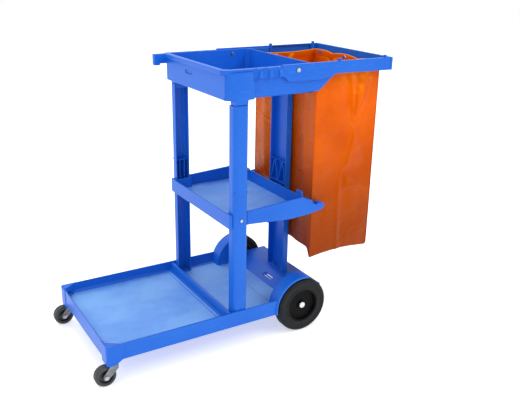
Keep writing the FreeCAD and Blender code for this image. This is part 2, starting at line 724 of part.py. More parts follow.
def makeArm(label, side):
    arm = body(label)
    low, high = ordered(side * armInside, side * s.armOutside)
    pad(arm, "XZ_Plane", low, high, [
        (s.armFront, s.armTop), (s.armFront, s.crossbarBottom + 10),
        (s.armFront + 28, s.crossbarBottom - 11), (s.trayRear + 23, s.crossbarBottom - 12),
        (s.trayRear + 50, s.crossbarBottom - 8), (s.trayRear + 87, s.crossbarBottom + 3),
        (crossbarFront, s.crossbarBottom), (crossbarFront, s.armTop)])
    # corner posts for the pins
    for x in pinPlaces():
        drum(arm, "Additive", "XY_Plane", x, side * (armInside + 1.5), s.crossbarBottom + 4,
             s.armTop, 8)
    # the arm is an open channel on its inner side
    low, high = ordered(side * (armInside - 12), side * (s.armOutside - 4))
    pocket(arm, "XZ_Plane", low, high, [
        (s.trayRear + 105, s.crossbarBottom + 6), (crossbarFront - 26, s.crossbarBottom + 6),
        (crossbarFront - 26, s.armTop - 5), (s.trayRear + 105, s.armTop - 5)])
    for x in pinPlaces():
        drum(arm, "Subtractive", "XY_Plane", x, side * (armInside + 1.5), s.armTop - 20,
             s.armTop + 1, s.pinRadius)
    low, high = ordered(side * (armInside - 9), side * (s.armOutside + 1))
    drum(arm, "Subtractive", "XZ_Plane", s.boltAlong, s.boltUp, low, high, 3.7)
    for z in (s.crossbarBottom + 11, s.armTop - 11):
        drum(arm, "Subtractive", "YZ_Plane", side * (s.armOutside + armInside) / 2, z,
             crossbarFront - 18, crossbarFront + 1, screwHole)


def pinPlaces():
    return (s.trayRear + 100, crossbarFront - 18)


def barScrews():
    return [(side * (s.armOutside + armInside) / 2, z) for side in (-1, 1)
            for z in (s.crossbarBottom + 11, s.armTop - 11)]


def makeCrossbar():
    bar = body("bag_crossbar")
    pad(bar, "YZ_Plane", crossbarFront, s.crossbarRear,
        box(-s.armOutside, s.armOutside, s.crossbarBottom, s.armTop))
    soften(bar, 5, lambda edge: upright(edge) and edge.BoundBox.XMin > s.crossbarRear.value - 1)
    inner = armInside - 4
    pocket(bar, "YZ_Plane", s.crossbarRear - 7, s.crossbarRear + 1,
           box(-inner, inner, s.crossbarBottom + 5, s.armTop - 5))
    pad(bar, "YZ_Plane", crossbarFront, s.crossbarRear - 2,
        *[box(y - 1.5, y + 1.5, s.crossbarBottom + 1, s.armTop - 1) for y in (-130, -65, 65, 130)])
    bores(bar, "YZ_Plane", crossbarFront - 1, s.crossbarRear + 1, screwHole, *barScrews())
    bores(bar, "YZ_Plane", s.crossbarRear - 3, s.crossbarRear + 1, s.screwHead + 0.5, *barScrews())
    bores(bar, "YZ_Plane", crossbarFront - 1, s.crossbarRear - 1, s.pegRadius,
          *[(y, s.eyeletUp) for y in (-150, 0, 150)])


def bagOutline(inset):
    """The bag's plan: its front panel bends back where it lies behind the rear column."""
    half = s.bagHalf - inset
    front = s.bagFront + inset
    behind = rearColumnRear + 3 + inset
    clear = s.rearColumnHalf + 8
    return [(front, -half), (front, -clear - 58), (behind, -clear), (behind, clear),
            (front, clear + 58), (front, half), (s.bagRear - inset, half), (s.bagRear - inset, -half)]


def makeBag():
    bag = body("bag")
    pad(bag, "XY_Plane", s.bagBottom, s.bagTop, bagOutline(sized(0)))
    pocket(bag, "XY_Plane", s.bagBottom + s.bagWall, s.bagTop + 1, bagOutline(s.bagWall))
    for y in (-150, 0, 150):
        drum(bag, "Subtractive", "YZ_Plane", y, s.eyeletUp, s.bagRear - 9, s.bagRear + 9, 4.5)
    for y in (-150, 150):
        drum(bag, "Subtractive", "YZ_Plane", y, s.eyeletUp, s.bagFront - 9, s.bagFront + 9, 4.5)


def makeEyelets():
    rings = []
    for index, (x, y) in enumerate(eyeletPlaces()):
        outer = rod("EyeletOuter%d" % index, (1, 0, 0), x, y, s.eyeletUp, 7.5, 1.2)
        inner = rod("EyeletInner%d" % index, (1, 0, 0), x - 1, y, s.eyeletUp, 4.5, 4)
        ring = doc.addObject("Part::Cut", "Eyelet%d" % index)
        ring.Base = outer
        ring.Tool = inner
        rings.append(ring)
    group("bag_eyelets", rings)


def eyeletPlaces():
    """Rings lie on the outside of the bag's front and rear panels."""
    rear = [(s.bagRear, y) for y in (-150, 0, 150)]
    return rear + [(s.bagFront - 1.2, y) for y in (-150, 150)]


def makePegs():
    pegs = []
    for y in (-150, 0, 150):
        pegs.append(joined("RearPeg%d" % (y + 150), [
            rod("RearPegRod%d" % (y + 150), (-1, 0, 0), s.crossbarRear - 7, y, s.eyeletUp,
                s.pegRadius, s.crossbarRear - 7 - s.bagRear + 12),
            rod("RearPegTip%d" % (y + 150), (0, 0, 1), s.bagRear - 10, y, s.eyeletUp,
                s.pegRadius - 0.3, 9)]))
    for y in (-150, 150):
        pegs.append(joined("FrontPeg%d" % (y + 150), [
            rod("FrontPegRod%d" % (y + 150), (1, 0, 0), s.trayRear - s.trayWall, y, s.eyeletUp,
                s.pegRadius, s.bagFront - s.trayRear + s.trayWall + 12),
            rod("FrontPegTip%d" % (y + 150), (0, 0, 1), s.bagFront + 10, y, s.eyeletUp,
                s.pegRadius - 0.3, 9)]))
    group("bag_hooks", pegs)


def makeRearWheel(name, side):
    tyre = body("tyre_" + name)
    turned(tyre, "YZ_Plane", "H_Axis", [
        (side * tyreInside, hubRadius), (side * s.wheelOutside, hubRadius),
        (side * s.wheelOutside, s.wheelRadius), (side * tyreInside, s.wheelRadius)],
        0, axleUp, s.axleAlong)
    soften(tyre, s.tyreShoulder, lambda edge: isRing(edge, s.wheelRadius))
    hub = body("wheel_hub_" + name)
    rimIn = tyreInside + 1
    rimOut = s.wheelOutside - 1
    web = s.wheelOutside - s.hubDish
    turned(hub, "YZ_Plane", "H_Axis", [
        (side * rimIn, hubRadius), (side * rimIn, hubRadius - s.hubRimWall),
        (side * (web - s.hubWeb), hubRadius - s.hubRimWall), (side * (web - s.hubWeb), s.bossRadius),
        (side * (tyreInside - 2), s.bossRadius), (side * (tyreInside - 2), boreRadius),
        (side * (web + 4), boreRadius), (side * (web + 4), s.bossRadius),
        (side * web, s.bossRadius), (side * web, hubRadius - s.hubRimWall),
        (side * rimOut, hubRadius - s.hubRimWall), (side * rimOut, hubRadius)],
        0, axleUp, s.axleAlong)
    bush = body("wheel_bush_" + name)
    turned(bush, "YZ_Plane", "H_Axis", [
        (side * (tyreInside - 2), s.axleRadius + s.runningGap), (side * (tyreInside - 2), boreRadius),
        (side * (web + 4), boreRadius), (side * (web + 4), s.axleRadius + s.runningGap)],
        0, axleUp, s.axleAlong)
    cap = body("axle_cap_" + name)
    axleEnd = web + 4.5
    turned(cap, "YZ_Plane", "H_Axis", [
        (side * (axleEnd + 0.2), 0), (side * (axleEnd + s.capDepth), 0),
        (side * (axleEnd + s.capDepth - 1), s.capRadius / 2),
        (side * (axleEnd + s.capDepth - 3), s.capRadius - 2),
        (side * (axleEnd + 1), s.capRadius), (side * (axleEnd + 0.2), s.capRadius)],
        0, axleUp, s.axleAlong)
    spacer = body("axle_spacer_" + name)
    turned(spacer, "YZ_Plane", "H_Axis", [
        (side * (boxFront + 0.3), s.axleRadius + 0.2), (side * (boxFront + 0.3), s.bossRadius - 3),
        (side * (tyreInside - 2.4), s.bossRadius - 3),
        (side * (tyreInside - 2.4), s.axleRadius + 0.2)],
        0, axleUp, s.axleAlong)


def isRing(edge, radius):
    curve = edge.Curve
    return hasattr(curve, "Radius") and abs(curve.Radius - radius.value) < 0.01


def makeAxle():
    reach = s.wheelOutside - s.hubDish + 4.5
    single("rear_axle", rod("rear_axle", (0, 1, 0), s.axleAlong, -reach, axleUp, s.axleRadius,
                            2 * reach))


def makeCaster(name, side):
    y = side * s.swivelAside
    half = s.casterWidth / 2
    stem = body("caster_stem_" + name)
    drum(stem, "Additive", "XY_Plane", s.swivelAlong, y, raceTop - 2, raceTop, s.crownRadius - 1)
    drum(stem, "Additive", "XY_Plane", s.swivelAlong, y, crownBottom - 2, raceTop + s.stemReach - 3,
         s.stemRadius)
    drum(stem, "Additive", "XY_Plane", s.swivelAlong, y, crownBottom - 4, crownBottom - 1.7,
         s.stemRadius + 1.5)
    race = body("caster_race_" + name)
    turned(race, "XZ_Plane", "V_Axis", [
        (s.stemRadius + 0.5, crownTop + 0.4), (s.crownRadius - 2, crownTop + 0.4),
        (s.crownRadius - 2, raceTop - 2), (s.stemRadius + 0.5, raceTop - 2)],
        s.swivelAlong, 0, y)
    fork = body("caster_fork_" + name)
    drum(fork, "Additive", "XY_Plane", s.swivelAlong, y, crownBottom, crownTop, s.crownRadius)
    inside = half + 2
    outside = inside + s.forkWall
    pad(fork, "XY_Plane", crownBottom, crownTop,
        box(s.swivelAlong - s.crownRadius + 4, s.swivelAlong + s.crownRadius - 4, y - outside, y + outside))
    for low, high in ((y - outside, y - inside), (y + inside, y + outside)):
        pad(fork, "XZ_Plane", low, high, [
            (s.swivelAlong - s.crownRadius + 4, crownTop), (casterAlong - 9, s.casterRadius + 6),
            (casterAlong - 9, s.casterRadius - 6), (casterAlong - 4, s.casterRadius - 10),
            (casterAlong + 6, s.casterRadius - 10), (s.swivelAlong + s.crownRadius - 4, crownBottom - 9),
            (s.swivelAlong + s.crownRadius - 4, crownTop)])
    drum(fork, "Subtractive", "XY_Plane", s.swivelAlong, y, crownBottom - 9, crownTop + 9,
         s.stemRadius + s.runningGap)
    drum(fork, "Subtractive", "XZ_Plane", casterAlong, s.casterRadius, y - outside - 1,
         y + outside + 1, s.casterBoltRadius + 0.1)
    bolt = screw("caster_bolt_" + name, (0, side * -1, 0), casterAlong, y + side * outside,
                 s.casterRadius, 2 * outside + 8, s.casterBoltRadius, 7, 4)
    single("caster_bolt_" + name, bolt)
    nut = body("caster_nut_" + name)
    start = y - side * outside
    low, high = ordered(start, start - side * 5)
    flat = 6.5
    tall = 7.5
    pad(nut, "XZ_Plane", low, high, [
        (casterAlong - flat, s.casterRadius - tall / 2), (casterAlong, s.casterRadius - tall),
        (casterAlong + flat, s.casterRadius - tall / 2),
        (casterAlong + flat, s.casterRadius + tall / 2), (casterAlong, s.casterRadius + tall),
        (casterAlong - flat, s.casterRadius + tall / 2)])
    drum(nut, "Subtractive", "XZ_Plane", casterAlong, s.casterRadius, low - 1, high + 1,
         s.casterBoltRadius)
    tread = body("caster_tread_" + name)
    treadIn = s.casterRadius - 8
    turned(tread, "YZ_Plane", "H_Axis", [
        (y - half, treadIn), (y + half, treadIn), (y + half, s.casterRadius),
        (y - half, s.casterRadius)], 0, s.casterRadius, casterAlong)
    soften(tread, 6, lambda edge: isRing(edge, s.casterRadius))
    hub = body("caster_hub_" + name)
    bore = s.casterBoltRadius + 2.5
    turned(hub, "YZ_Plane", "H_Axis", [
        (y - half + 1, treadIn), (y - half + 1, treadIn - 4), (y - 5, treadIn - 6), (y - 5, 12),
        (y - half - 1, 12), (y - half - 1, bore), (y + half + 1, bore), (y + half + 1, 12),
        (y + 5, 12), (y + 5, treadIn - 6), (y + half - 1, treadIn - 4), (y + half - 1, treadIn)],
        0, s.casterRadius, casterAlong)
    bush = body("caster_bush_" + name)
    turned(bush, "YZ_Plane", "H_Axis", [
        (y - half - 1.5, s.casterBoltRadius + s.runningGap), (y - half - 1.5, bore),
        (y + half + 1.5, bore), (y + half + 1.5, s.casterBoltRadius + s.runningGap)],
        0, s.casterRadius, casterAlong)


def makeFasteners():
    under = s.deckFloor - s.skin
    foot = [screw("FootScrew%d" % n, (0, 0, 1), x, y, under, 14) for n, (x, y) in
            enumerate(columnScrews())]
    foot += [screw("RearFootScrew%d" % n, (0, 0, 1), rearColumnMiddle, y,
                   crossMemberTop - s.rimWall, 16) for n, y in enumerate((-30, 30))]
    group("column_foot_screws", foot)
    shelfScrews = [screw("ShelfScrew%d" % n, (0, -side, 0), columnMiddle, side * s.columnOutside,
                         s.shelfScrewUp, 34) for n, side in enumerate((-1, 1))]
    group("shelf_screws", shelfScrews)
    half = s.rearColumnHalf
    single("rear_shelf_bolt", screw("rear_shelf_bolt", (0, 1, 0), rearColumnMiddle, -half,
                                    s.shelfScrewUp, 2 * half + 7, 3, 6, 4))
    trayScrews = [screw("TrayScrew%d" % n, (0, 0, -1), s.rearColumnFront + 7, y, s.trayBottom + 11, 14)
                  for n, y in enumerate((-30, 30))]
    group("rear_column_screws", trayScrews)
    bolts = [screw("ArmBolt%d" % n, (0, -side, 0), s.boltAlong, side * s.armOutside, s.boltUp,
                   s.armOutside - s.trayHalf + 16, 3.5, 7, 3) for n, side in enumerate((-1, 1))]
    group("arm_bolts", bolts)
    group("crossbar_screws", [
        screw("BarScrew%d" % n, (-1, 0, 0), s.crossbarRear - 3, y, z, s.crossbarDepth + 10,
              s.screwRadius, s.screwHead, 2.5) for n, (y, z) in enumerate(barScrews())])
    nuts = []
    for n, side in enumerate((-1, 1)):
        start = side * (s.trayHalf - 8)
        nut = doc.addObject("Part::Cut", "ArmNut%d" % n)
        nut.Base = rod("ArmNutBody%d" % n, (0, -side, 0), s.boltAlong, start, s.boltUp, 7, 5)
        nut.Tool = rod("ArmNutBore%d" % n, (0, -side, 0), s.boltAlong, start + side, s.boltUp, 3.5, 8)
        nuts.append(nut)
    group("arm_nuts", nuts)
    pins = []
    for n, x in enumerate(pinPlaces()):
        for side in (-1, 1):
            place = side * (armInside + 1.5)
            pins.append(joined("Pin%d%d" % (n, side + 1), [
                rod("PinShank%d%d" % (n, side + 1), (0, 0, -1), x, place, s.armTop, s.pinRadius, 18),
                rod("PinHead%d%d" % (n, side + 1), (0, 0, 1), x, place, s.armTop, 6, 8)]))
    group("corner_pins", pins)


makeDeck()
for name, side in sides():
    makeColumn("front_column_" + name, side)
makeRearColumn()
makeShelf()
makeTray()
for name, side in sides():
    makeArm("bag_arm_" + name, side)
makeCrossbar()
makeBag()
makeEyelets()
makePegs()
for name, side in sides():
    makeRearWheel(name, side)
makeAxle()
for name, side in sides():
    makeCaster(name, side)
makeFasteners()

doc.recompute()
faults = []
for item in doc.Objects:
    if "Invalid" in item.State or "Error" in item.State:
        faults.append("%s %s" % (item.Name, item.State))
for cut in cuts:
    before = cut.BaseFeature.Shape.Volume
    if cut.Shape.Volume > before - 0.01:
        faults.append("%s of %s cuts nothing" % (cut.Name, cut.getParentGeoFeatureGroup().Label))
for piece in subParts:
    shape = piece.Shape
    if shape.isNull() or not shape.isValid() or not shape.Solids:
        faults.append("%s has no valid solid" % piece.Label)
for fault in faults:
    print(fault)
if faults:
    raise SystemExit(1)
for piece in subParts:
    piece.Shape.exportStep("parts/%s.step" % piece.Label)
    print(piece.Label, len(piece.Shape.Solids), round(piece.Shape.Volume / 1000, 1))
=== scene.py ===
import json
import math

import bmesh
import bpy
import numpy as np
from mathutils import Matrix, Vector

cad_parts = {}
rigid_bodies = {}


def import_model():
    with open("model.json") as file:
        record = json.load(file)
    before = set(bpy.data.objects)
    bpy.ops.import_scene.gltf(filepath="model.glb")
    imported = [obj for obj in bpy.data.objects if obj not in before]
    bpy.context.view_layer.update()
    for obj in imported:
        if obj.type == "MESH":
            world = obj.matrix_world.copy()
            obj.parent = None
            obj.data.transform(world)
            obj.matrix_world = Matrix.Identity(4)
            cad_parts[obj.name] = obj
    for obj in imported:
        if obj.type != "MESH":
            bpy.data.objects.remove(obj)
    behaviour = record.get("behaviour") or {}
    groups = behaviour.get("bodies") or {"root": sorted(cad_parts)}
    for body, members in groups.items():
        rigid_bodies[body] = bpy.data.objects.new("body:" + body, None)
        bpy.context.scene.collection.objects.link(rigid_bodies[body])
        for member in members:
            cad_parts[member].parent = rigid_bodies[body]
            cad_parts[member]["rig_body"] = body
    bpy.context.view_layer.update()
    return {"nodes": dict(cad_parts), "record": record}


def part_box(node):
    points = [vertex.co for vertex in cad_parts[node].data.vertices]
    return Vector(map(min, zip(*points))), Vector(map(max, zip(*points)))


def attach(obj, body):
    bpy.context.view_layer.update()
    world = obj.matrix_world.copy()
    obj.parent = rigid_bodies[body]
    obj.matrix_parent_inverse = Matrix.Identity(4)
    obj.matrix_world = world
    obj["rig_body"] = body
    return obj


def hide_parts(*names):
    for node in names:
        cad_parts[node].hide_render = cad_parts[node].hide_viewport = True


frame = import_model()
nodes = frame["nodes"]
slotOf = {row["node"]: row["material_slot"] for row in frame["record"]["subparts"]}
scene = bpy.context.scene
print("frame loaded:", len(nodes), "nodes")

camera = {
    "place": (-1.105, -2.0627, 1.3004),
    "azimuth": -31.745,
    "tilt": 19.64,
    "roll": 1.12,
    "lens": 47.495,
}

lamps = {
    "keyLamp": {"place": (1.9, -2.7, 3.3), "aim": (0.1, 0, 0.45), "size": 1.5, "watts": 36},
    "frontLamp": {"place": (-2.9, -1.2, 3.0), "aim": (-0.1, 0, 0.3), "size": 1.6, "watts": 20},
    "topLamp": {"place": (-0.4, 1.8, 3.2), "aim": (-0.1, 0, 0.1), "size": 2.2, "watts": 32},
}

softSky = {"colour": (1.0, 1.0, 1.0, 1), "strength": 1.0}


def makeCamera():
    turn, tilt, roll = (math.radians(camera[part]) for part in ("azimuth", "tilt", "roll"))
    level = math.cos(tilt)
    forward = Vector((-math.sin(turn) * level, math.cos(turn) * level, -math.sin(tilt)))
    right = forward.cross(Vector((0, 0, 1))).normalized()
    up = right.cross(forward)
    across = math.cos(roll) * right + math.sin(roll) * up
    above = -math.sin(roll) * right + math.cos(roll) * up
    data = bpy.data.cameras.new("camera")
    data.lens = camera["lens"]
    made = bpy.data.objects.new("camera", data)
    scene.collection.objects.link(made)
    axes = Matrix((across, above, -forward)).transposed().to_4x4()
    made.matrix_world = Matrix.Translation(camera["place"]) @ axes
    scene.camera = made


def makeLamps():
    for name, lamp in lamps.items():
        data = bpy.data.lights.new(name, "AREA")
        data.shape = "DISK"
        data.size = lamp["size"]
        data.energy = lamp["watts"]
        made = bpy.data.objects.new(name, data)
        scene.collection.objects.link(made)
        made.location = lamp["place"]
        made.rotation_mode = "QUATERNION"
        aim = Vector(lamp["aim"]) - Vector(lamp["place"])
        made.rotation_quaternion = aim.to_track_quat("-Z", "Y")
    world = bpy.data.worlds.new("softSky")
    world.use_nodes = True
    sky = world.node_tree.nodes["Background"]
    sky.inputs["Color"].default_value = softSky["colour"]
    sky.inputs["Strength"].default_value = softSky["strength"]
    scene.world = world
    scene.view_settings.view_transform = "Standard"


class Signal:
    # one socket of a material's node tree; sums on it add Math nodes
    def __init__(self, tree, socket=None):
        self.tree = tree
        self.socket = socket

    def node(self, kind, settings=None, inputs=None, out=0):
        made = self.tree.nodes.new(kind)
        for name, value in (settings or {}).items():
            setattr(made, name, value)
        for name, value in (inputs or {}).items():
            if isinstance(value, Signal):
                self.tree.links.new(value.socket, made.inputs[name])
            else:
                made.inputs[name].default_value = value
        return Signal(self.tree, made.outputs[out])

    def maths(self, operation, first, second=0.0):
        return self.node("ShaderNodeMath", {"operation": operation}, {0: first, 1: second})

    def __add__(self, other):
        return self.maths("ADD", self, other)

    __radd__ = __add__

    def __sub__(self, other):
        return self.maths("SUBTRACT", self, other)

    def __rsub__(self, other):
        return self.maths("SUBTRACT", other, self)

    def __mul__(self, other):
        return self.maths("MULTIPLY", self, other)

    __rmul__ = __mul__

    # between low and high this rises smoothly from 0 to 1
    def step(self, low, high):
        return self.node("ShaderNodeMapRange", {"interpolation_type": "SMOOTHSTEP"},
                         {"Value": self, "From Min": low, "From Max": high})

    def mixed(self, first, second):
        inputs = {"Factor": self, 6: first, 7: second}
        return self.node("ShaderNodeMix", {"data_type": "RGBA"}, inputs, 2)


def newLook(name, constants):
    look = bpy.data.materials.new(name)
    look.use_nodes = True
    shader = look.node_tree.nodes["Principled BSDF"]
    for socket, value in constants.items():
        shader.inputs[socket].default_value = value
    place = Signal(look.node_tree).node("ShaderNodeTexCoord", out=3)
    return look, place


def finishLook(look, links):
    shader = look.node_tree.nodes["Principled BSDF"]
    for socket, value in links.items():
        look.node_tree.links.new(value.socket, shader.inputs[socket])
    return look


def noise(place, scale, detail=3.0, stretch=(1, 1, 1), roughness=0.5, kind="FBM"):
    mapped = place.node("ShaderNodeMapping", None, {"Vector": place, "Scale": stretch})
    return place.node("ShaderNodeTexNoise", {"noise_type": kind, "normalize": True},
                      {"Vector": mapped, "Scale": scale, "Detail": detail, "Roughness": roughness})


def axisOf(vector, axis):
    return vector.node("ShaderNodeSeparateXYZ", None, {0: vector}, axis)


def bumped(height, strength, distance):
    return height.node("ShaderNodeBump", None,
                       {"Height": height, "Strength": strength, "Distance": distance})


plastic = {
    "base": (0.004, 0.112, 0.58, 1),
    "pale": (0.012, 0.155, 0.66, 1),
    "paleShare": 0.35,
    # a paler blue for the floors: partly rubbed wear, partly a painted highlight of light on the
    # up-facing floors
    "wornAndSheen": (0.185, 0.40, 0.76, 1),
    "floors": [(0.1020, 0.1055), (0.4572, 0.4600), (0.8870, 0.8895)],  # heights on deck, shelf and tray
    "floorFade": 0.0006,
    "floorSheen": 0.52,
    "rubbedWearAndSheen": 0.40,
    "slidMarks": 0.10,
    "crossedMarks": 0.07,
    "rough": 0.33,
    "relief": 0.22,
    "reliefDepth": 0.0006,
}


def bluePlastic():
    constants = {"IOR": 1.49, "Specular IOR Level": 0.26, "Coat Roughness": 0.25}
    look, place = newLook("bluePlastic", constants)
    cloudy = noise(place, 5, 4).step(0.35, 0.7)
    base = (cloudy * plastic["paleShare"]).mixed(plastic["base"], plastic["pale"])
    # long fine scuffs along and across the cart; on the three floors a lighter rubbed wear mixed with a
    # painted highlight where the up-facing floors catch the light
    slid = noise(place, 26, 5, (1, 9, 9), 0.6).step(0.56, 0.72)
    crossed = noise(place, 31, 5, (11, 1, 9), 0.6).step(0.60, 0.74)
    height = axisOf(place, 2)
    facing = place.node("ShaderNodeNewGeometry", out=1)
    level = axisOf(facing, 2).step(0.85, 0.98)
    fade = plastic["floorFade"]
    floor = 0
    for low, high in plastic["floors"]:
        floor = height.step(low - fade, low) * (1 - height.step(high, high + fade)) + floor
    floor = floor * level
    rubbed = noise(place, 3.2, 5, (1, 1.4, 1), 0.62).step(0.30, 0.62)
    # painted highlight: every up-facing floor is painted lighter by a fixed share, and rubbed wear adds
    # more in patches
    floorWearAndSheen = floor * (rubbed * plastic["rubbedWearAndSheen"] + plastic["floorSheen"])
    marksAndSheen = slid * plastic["slidMarks"] + crossed * plastic["crossedMarks"] + floorWearAndSheen
    colour = marksAndSheen.mixed(base, plastic["wornAndSheen"])
    grain = noise(place, 1500, 2, (1, 1, 1), 0.6)
    waves = noise(place, 60, 3)
    height = grain * 0.5 + waves * 0.35 + slid * -0.25
    rough = cloudy * 0.06 + (plastic["rough"] + slid * 0.12) + floor * 0.10
    normal = bumped(height, plastic["relief"], plastic["reliefDepth"])
    return finishLook(look, {"Base Color": colour, "Roughness": rough, "Normal": normal})


vinyl = {
    "base": (0.74, 0.105, 0.0006, 1),
    "deep": (0.56, 0.064, 0.0004, 1),
    "deepShare": 0.8,
    # painted shade: a darker colour mixed in towards the bag's foot
    "foot": (0.25, 0.026, 0.0003, 1),
    "footShadeFade": (0.26, 0.86),
    "footShadeShare": 0.95,
    "rubbed": (0.90, 0.24, 0.004, 1),
    "rubbedShare": 0.16,
    # painted highlight colour for up-facing cloth high on the bag
    "bright": (0.95, 0.42, 0.006, 1),
    "paintedHighlightFade": (0.70, 0.88),
    "paintedHighlightShare": 0.55,
    "threadPitch": 0.0011,
    "rough": 0.27,
    "relief": 0.6,
    "reliefDepth": 0.004,
}


def bagVinyl():
    constants = {"IOR": 1.55, "Specular Tint": (1.0, 0.60, 0.03, 1), "Specular IOR Level": 0.25}
    look, place = newLook("bagVinyl", constants)
    across = axisOf(place, 0) + axisOf(place, 1)
    turns = 2 * math.pi / vinyl["threadPitch"]
    weft = place.maths("SINE", axisOf(place, 2) * turns)
    warp = place.maths("SINE", across * turns)
    weave = weft * warp
    crinkle = noise(place, 19, 7, (1, 1, 0.75), 0.58, "RIDGED_MULTIFRACTAL")
    ripple = noise(place, 9, 4, (1, 1, 0.5), 0.5)
    patches = noise(place, 6, 5).step(0.36, 0.68)
    base = (patches * vinyl["deepShare"]).mixed(vinyl["base"], vinyl["deep"])
    creased = crinkle.step(0.68, 0.95)
    # painted shade: the cloth is painted darker towards the bottom of the bag, standing in for light
    # that falls off down the bag
    low = 1 - axisOf(place, 2).step(*vinyl["footShadeFade"])
    base = (low * vinyl["footShadeShare"]).mixed(base, vinyl["foot"])
    colour = (creased * vinyl["rubbedShare"]).mixed(base, vinyl["rubbed"])
    # painted highlight: cloth high on the bag that leans up to the light is painted brighter and
    # yellower
    facing = place.node("ShaderNodeNewGeometry", out=1)
    paintedHighlightMask = axisOf(facing, 2).step(0.0, 0.30) * axisOf(place, 2).step(*vinyl["paintedHighlightFade"])
    colour = (paintedHighlightMask * vinyl["paintedHighlightShare"]).mixed(colour, vinyl["bright"])
    height = crinkle * 0.55 + ripple * 0.9 + weave * 0.03
    rough = patches * 0.10 + (vinyl["rough"] + creased * 0.10)
    normal = bumped(height, vinyl["relief"], vinyl["reliefDepth"])
    return finishLook(look, {"Base Color": colour, "Roughness": rough, "Normal": normal})


finishes = {
    "eyelet_metal": {
        "name": "eyeletMetal", "first": (0.78, 0.78, 0.80, 1), "second": (0.60, 0.60, 0.62, 1),
        "rough": 0.18, "grainScale": 700, "relief": 0.05, "metallic": 1.0,
    },
    "tyre_rubber": {
        "name": "tyreRubber", "first": (0.006, 0.007, 0.008, 1), "second": (0.012, 0.014, 0.015, 1),
        "rough": 0.66, "grainScale": 900, "relief": 0.35, "shine": 0.22,
    },
    "black_plastic": {
        "name": "blackPlastic", "first": (0.0012, 0.0012, 0.0015, 1),
        "second": (0.003, 0.003, 0.003, 1),
        "rough": 0.6, "grainScale": 1200, "relief": 0.15, "shine": 0.12,
    },
    "bush_plastic": {
        "name": "bushPlastic", "first": (0.62, 0.60, 0.55, 1), "second": (0.52, 0.50, 0.46, 1),
        "rough": 0.45, "grainScale": 900, "relief": 0.1,
    },
    "bright_metal": {
        "name": "brightMetal", "first": (0.82, 0.82, 0.84, 1), "second": (0.70, 0.70, 0.72, 1),
        "rough": 0.16, "grainScale": 500, "relief": 0.05, "metallic": 1.0,
    },
    "grey_rubber": {
        "name": "greyRubber", "first": (0.026, 0.030, 0.031, 1), "second": (0.045, 0.050, 0.051, 1),
        "rough": 0.6, "grainScale": 800, "relief": 0.3,
    },
    "caster_plastic": {
        "name": "casterPlastic", "first": (0.02, 0.02, 0.021, 1), "second": (0.032, 0.032, 0.033, 1),
        "rough": 0.45, "grainScale": 900, "relief": 0.2,
    },
    "fork_steel": {
        "name": "forkSteel", "first": (0.16, 0.17, 0.18, 1), "second": (0.26, 0.27, 0.28, 1),
        "rough": 0.40, "grainScale": 420, "relief": 0.2, "metallic": 0.85,
    },
    "screw_steel": {
        "name": "screwSteel", "first": (0.50, 0.50, 0.52, 1), "second": (0.38, 0.38, 0.40, 1),
        "rough": 0.32, "grainScale": 600, "relief": 0.1, "metallic": 1.0,
    },
}


def plainLook(name, first, second, rough, grainScale, relief, metallic=0.0, shine=0.5):
    # a moulded or metal finish: two mixed tones, uneven gloss and a fine surface grain
    look, place = newLook(name, {"Metallic": metallic, "IOR": 1.5, "Specular IOR Level": shine})
    tone = noise(place, 35, 5, roughness=0.6).step(0.35, 0.68)
    grain = noise(place, grainScale, 3, roughness=0.6)
    dust = noise(place, 140, 4, roughness=0.7).step(0.55, 0.75)
    base = tone.mixed(first, second)
    uneven = tone * 0.10 + (rough - 0.05 + dust * 0.08)
    normal = bumped(grain, relief, 0.0005)
    return finishLook(look, {"Base Color": base, "Roughness": uneven, "Normal": normal})


looks = {"blue_plastic": bluePlastic(), "bag_vinyl": bagVinyl()}
for slot, finish in finishes.items():
    looks[slot] = plainLook(**finish)
print("materials made:", len(looks))


# how wide the rounded edges of each node are, in metres
rounding = {
    "deck": 0.0026, "middle_shelf": 0.0024, "top_tray": 0.0026, "bag_arm_left": 0.002,
    "bag_arm_right": 0.002, "bag_crossbar": 0.0018, "front_column_left": 0.0018,
    "front_column_right": 0.0018, "rear_column": 0.0016, "caster_fork_left": 0.0006,
    "caster_fork_right": 0.0006, "corner_pins": 0.0012, "bag_hooks": 0.0006,
}

softening = {
    "weld": 0.00002,
    "bend": 32,  # degrees; edges that turn less stay as they are
    "shortest": 0.009,  # metres; shorter edges stay as they are
    "segments": 3,
    "profile": 0.5,
}


def softCopy(name):
    # the same shape with its long edges rounded; hole rims and small ribs stay crisp
    mesh = bmesh.new()
    mesh.from_mesh(nodes[name].data)
    bmesh.ops.remove_doubles(mesh, verts=mesh.verts[:], dist=softening["weld"])
    bend = math.radians(softening["bend"])
    longEdges = [edge for edge in mesh.edges if edge.is_manifold
                 and edge.calc_length() > softening["shortest"] and edge.calc_face_angle(0) > bend]
    bmesh.ops.bevel(mesh, geom=longEdges, offset=rounding[name], offset_type="OFFSET",
                    segments=softening["segments"], profile=softening["profile"],
                    affect="EDGES", clamp_overlap=False, loop_slide=True)
    for face in mesh.faces:
        face.smooth = True
    for edge in mesh.edges:
        edge.smooth = not edge.is_manifold or edge.calc_face_angle(0) < bend
    data = bpy.data.meshes.new(name + ".soft")
    mesh.to_mesh(data)
    mesh.free()
    made = bpy.data.objects.new(name + ".soft", data)
    scene.collection.objects.link(made)
    data.materials.append(looks[slotOf[name]])
    shading = made.modifiers.new("shading", "WEIGHTED_NORMAL")
    shading.keep_sharp = True
    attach(made, nodes[name]["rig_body"])
    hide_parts(name)


def dressNodes():
    for name, piece in nodes.items():
        piece.data.materials.clear()
        piece.data.materials.append(looks[slotOf[name]])
    for name in rounding:
        softCopy(name)


joinWithin = 0.000001  # metres; nearer points become one


